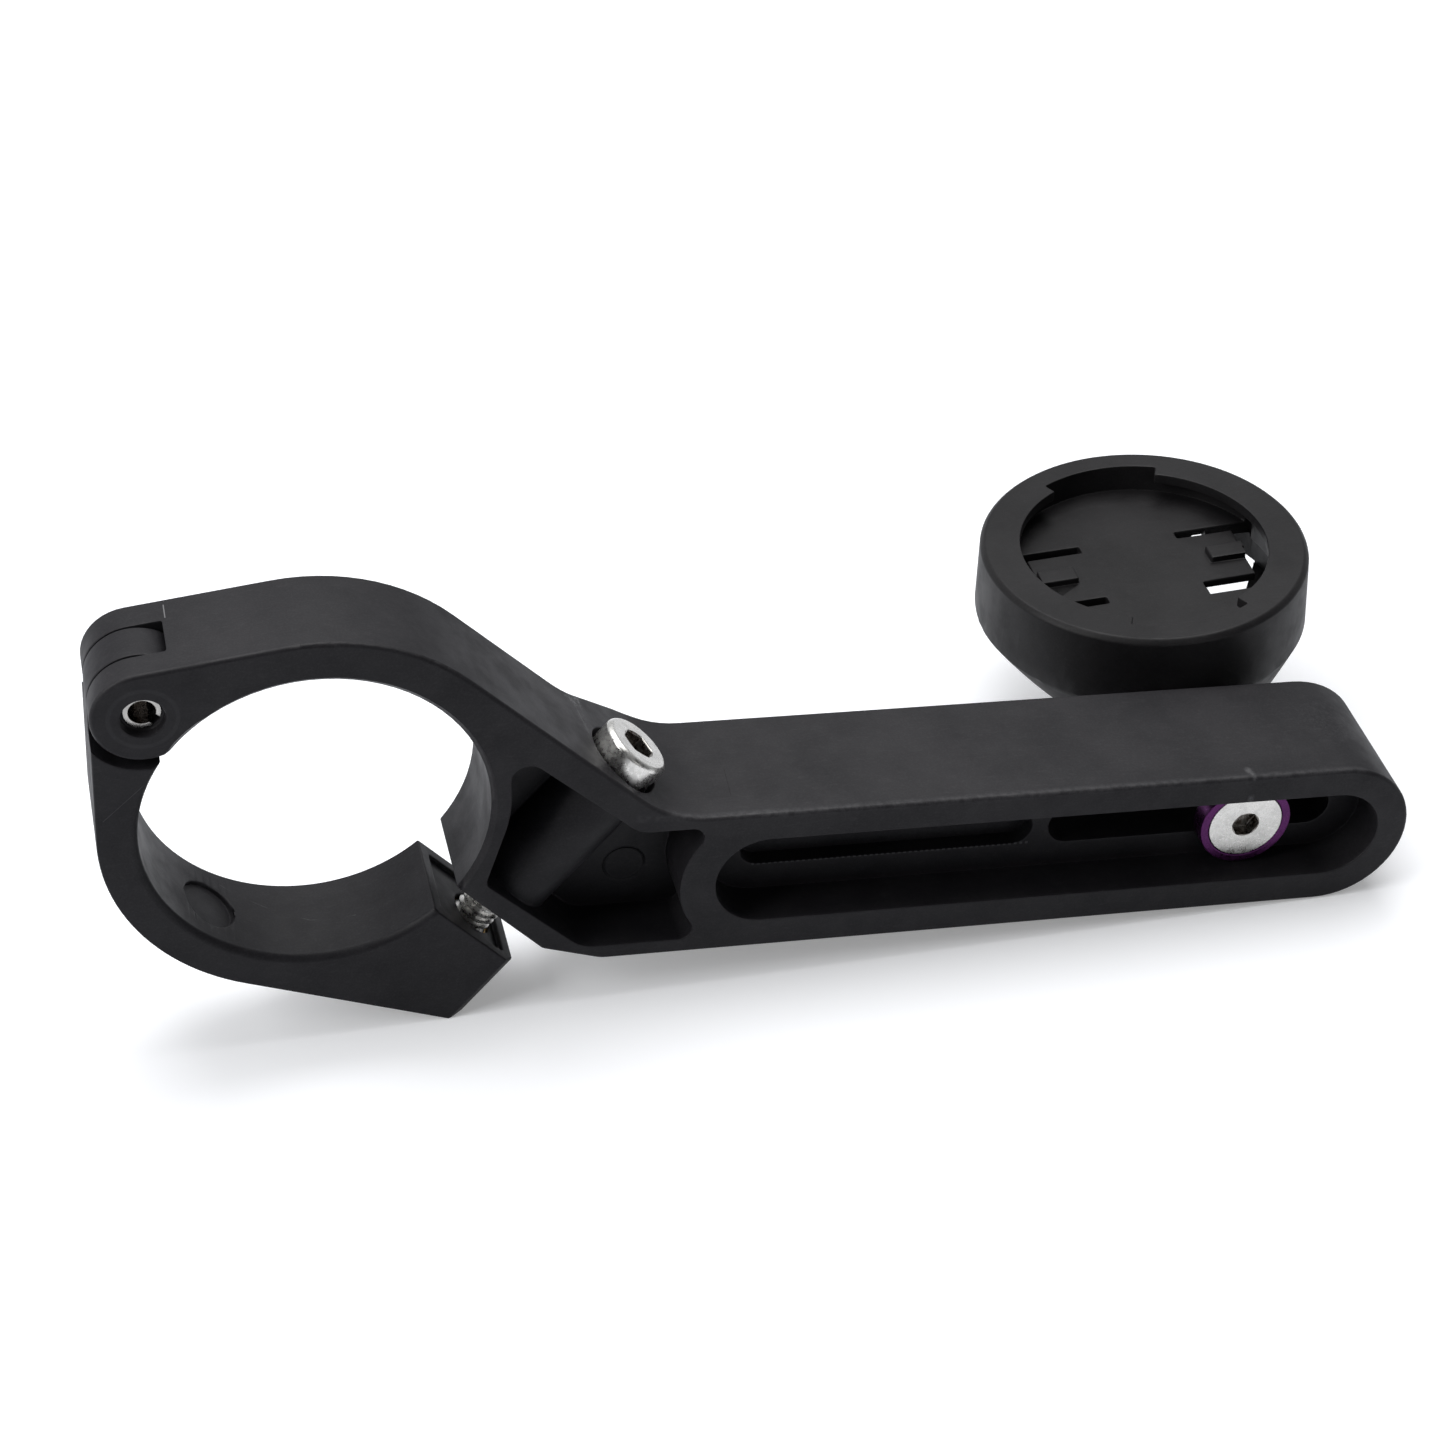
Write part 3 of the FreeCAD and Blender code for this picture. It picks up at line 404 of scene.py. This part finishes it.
def helix_thread(name, body, material, start, axis, length):
    """Thread ridge wound round a screw's core, from a start along an axis."""
    turns = int(length / THREAD_PITCH)
    bpy.ops.object.select_all(action="DESELECT")
    bpy.ops.mesh.primitive_circle_add(vertices=4, radius=1.0, fill_type="NOTHING",
                                      location=(0.0, 0.0, 0.0))
    piece = bpy.context.view_layer.objects.active
    piece.name = name
    half = THREAD_PITCH * 0.44
    corners = ((THREAD_ROOT - 0.06 * MM, -half), (THREAD_RADIUS, -half * 0.14),
               (THREAD_RADIUS, half * 0.14), (THREAD_ROOT - 0.06 * MM, half))
    for vertex, (radius, height) in zip(piece.data.vertices, corners):
        vertex.co = (radius, 0.0, height)
    bpy.ops.object.modifier_add(type="SCREW")
    screw = piece.modifiers[-1]
    screw.axis = "Z"
    screw.angle = math.tau
    screw.screw_offset = THREAD_PITCH
    screw.iterations = turns
    screw.steps = 28
    screw.render_steps = 28
    screw.use_merge_vertices = True
    screw.merge_threshold = 0.0001 * MM
    bpy.ops.object.modifier_apply(modifier=screw.name)
    turn = Vector((0.0, 0.0, 1.0)).rotation_difference(axis).to_matrix().to_4x4()
    piece.data.transform(Matrix.Translation(start + axis * THREAD_PITCH) @ turn)
    bpy.ops.object.mode_set(mode="EDIT")
    bpy.ops.mesh.select_all(action="SELECT")
    bpy.ops.mesh.fill_holes(sides=6)
    bpy.ops.mesh.normals_make_consistent(inside=False)
    bpy.ops.object.mode_set(mode="OBJECT")
    finish_mesh(piece, material, 40.0)
    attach(piece, body)
    return piece


def cradle_cutter(name, low, high):
    """Box between two corners given in the cradle's own frame, rim plane at height 0."""
    bpy.ops.object.select_all(action="DESELECT")
    bpy.ops.mesh.primitive_cube_add(size=1.0, location=(0.0, 0.0, 0.0))
    cutter = bpy.context.view_layer.objects.active
    cutter.name = name
    stretch = Matrix.Diagonal((*(Vector(high) - Vector(low)), 1.0))
    middle = Matrix.Translation((Vector(low) + Vector(high)) / 2)
    cutter.data.transform(Matrix.Scale(MM, 4) @ CRADLE_PLACE @ middle @ stretch)
    return cutter


# Thinner floor and wider slots round the right tongue, and a shallower bowl behind them
CRADLE_TILT = math.radians(-6.5)
CRADLE_PLACE = Matrix.Translation((90.83, 28.75, 1.77)) @ Matrix.Rotation(CRADLE_TILT, 4, "Y")
CRADLE_CUTTERS = (
    cradle_cutter("floor_relief", (4.6, -7.2, -5.6), (13.7, 3.6, -3.95)),
    cradle_cutter("front_slot", (5.3, -6.3, -6.0), (12.4, -4.1, -2.4)),
    cradle_cutter("tip_gap", (11.05, -6.2, -6.0), (13.7, 0.1, -2.4)),
    cradle_cutter("back_slot", (7.4, 4.1, -5.6), (8.9, 6.2, -3.5)),
    cradle_cutter("bowl_side", (5.0, 1.5, -13.0), (16.0, 4.6, -7.83)),
)

# The pieces
moulded_copy("arm_body", "slotted_arm", "arm", nylon, 0.2, corner=60.0)
moulded_copy("clamp_jaw", "lower_jaw", "jaw", jaw_nylon, 0.2)
moulded_copy("cradle", "computer_cradle", "cradle", shaded_cradle_nylon, 0.16,
             cutters=CRADLE_CUTTERS)
moulded_copy("hinge_pin", "spring_pin", "arm", spring_steel, 0.08)
moulded_copy("pinch_screw", "socket_screw", "pinch_screw", polished_steel, 0.16, 3)
moulded_copy("cradle_bolt", "countersunk_bolt", "carriage", polished_steel, 0.08)
moulded_copy("cup_washer", "bolt_cup", "carriage", anodised, 0.14, 3)
for node, name, body in (("jaw_insert", "jaw_thread_insert", "jaw"),
                         ("cradle_insert", "boss_thread_insert", "cradle")):
    moulded_copy(node, name, body, brass, 0.12)

helix_thread("pinch_thread", "pinch_screw", polished_steel,
             SCREW_START + SCREW_LINE * (SCREW_SEAT - SCREW_LENGTH), SCREW_LINE, 22.5 * MM)
helix_thread("bolt_thread", "carriage", polished_steel,
             BOLT + Vector((0.0, 3.0 * MM, 0.0)), Vector((0.0, 1.0, 0.0)), 15.5 * MM)


def pale_floor():
    """Sloping floor through the jaw's tip and the arm's end."""
    run = ARM_FOOT - JAW_TIP
    slope = math.atan2(run.z, run.x)
    material, nodes, shader = new_material("pale_floor")
    shader.inputs["Roughness"].default_value = 0.6
    shader.inputs["Specular IOR Level"].default_value = 0.2
    path = nodes.add("ShaderNodeLightPath")
    mirrored = nodes.math("MULTIPLY", path.outputs["Is Glossy Ray"], 0.62)
    seen = nodes.math("MAXIMUM", path.outputs["Is Camera Ray"], mirrored)
    seen = nodes.math("MAXIMUM", seen, path.outputs["Is Transmission Ray"])
    nodes.tree.links.new(nodes.mix(seen, (0.32, 0.33, 0.37), (0.85, 0.86, 0.885)),
                         shader.inputs["Base Color"])
    shader.inputs["Emission Color"].default_value = (1.0, 1.0, 1.0, 1.0)
    nodes.tree.links.new(nodes.math("MULTIPLY", seen, 0.26), shader.inputs["Emission Strength"])
    bpy.ops.object.select_all(action="DESELECT")
    bpy.ops.mesh.primitive_plane_add(size=6.0, location=(0.0, 0.0, 0.0))
    floor = bpy.context.view_layer.objects.active
    floor.name = "pale_floor"
    turn = Matrix.Rotation(-slope, 4, "Y")
    floor.data.transform(Matrix.Translation(JAW_TIP - Vector((0.0, 0.0, FLOOR_DROP))) @ turn)
    floor.data.materials.append(material)


def studio_world():
    """White surround, darker on the side behind the camera except where the camera sees it."""
    world = bpy.data.worlds.new("studio")
    world.use_nodes = True
    bpy.context.scene.world = world
    nodes = Nodes(world.node_tree)
    background = world.node_tree.nodes["Background"]
    place = nodes.add("ShaderNodeTexCoord").outputs["Generated"]
    parts = nodes.add("ShaderNodeSeparateXYZ", {0: place})
    level = nodes.ramp(parts.outputs["Y"], -0.6, 0.8, 0.05, 0.55)
    path = nodes.add("ShaderNodeLightPath")
    strength = nodes.math("MAXIMUM", level, path.outputs["Is Camera Ray"])
    background.inputs["Color"].default_value = (0.96, 0.975, 1.0, 1.0)
    nodes.tree.links.new(strength, background.inputs["Strength"])


def soft_box(name, place, target, width, height, power):
    light = bpy.data.lights.new(name, "AREA")
    light.shape = "RECTANGLE"
    light.size = width
    light.size_y = height
    light.energy = power
    lamp = bpy.data.objects.new(name, light)
    bpy.context.collection.objects.link(lamp)
    lamp.location = place
    lamp.rotation_euler = (Vector(target) - Vector(place)).to_track_quat("-Z", "Y").to_euler()


def photo_camera():
    """Camera at the photograph's place, tilt and focal length."""
    camera = bpy.data.cameras.new("camera")
    holder = bpy.data.objects.new("camera", camera)
    bpy.context.collection.objects.link(holder)
    right = Vector((0.968962, -0.228601, 0.094098))
    up = Vector((0.065611, 0.604798, 0.793672))
    back = Vector((-0.238344, -0.762864, 0.601025))
    turn = Matrix((right, up, back)).transposed().to_4x4()
    holder.matrix_world = Matrix.Translation(CAMERA_PLACE) @ turn
    camera.sensor_width = SENSOR_WIDTH
    camera.lens = SENSOR_WIDTH * FOCAL_PIXELS / PHOTO_PIXELS
    camera.clip_start = 0.01
    camera.clip_end = 20.0
    bpy.context.scene.camera = holder


pale_floor()
studio_world()
centre = (0.045, 0.01, -0.01)
soft_box("overhead_box", (0.02, 0.16, 0.52), centre, 0.55, 0.45, 3.0)
soft_box("left_box", (-0.42, -0.10, 0.26), centre, 0.25, 0.35, 1.6)
soft_box("front_box", (0.25, -0.50, 0.22), centre, 0.4, 0.25, 0.15)
photo_camera()
bpy.context.scene.view_settings.view_transform = "Standard"
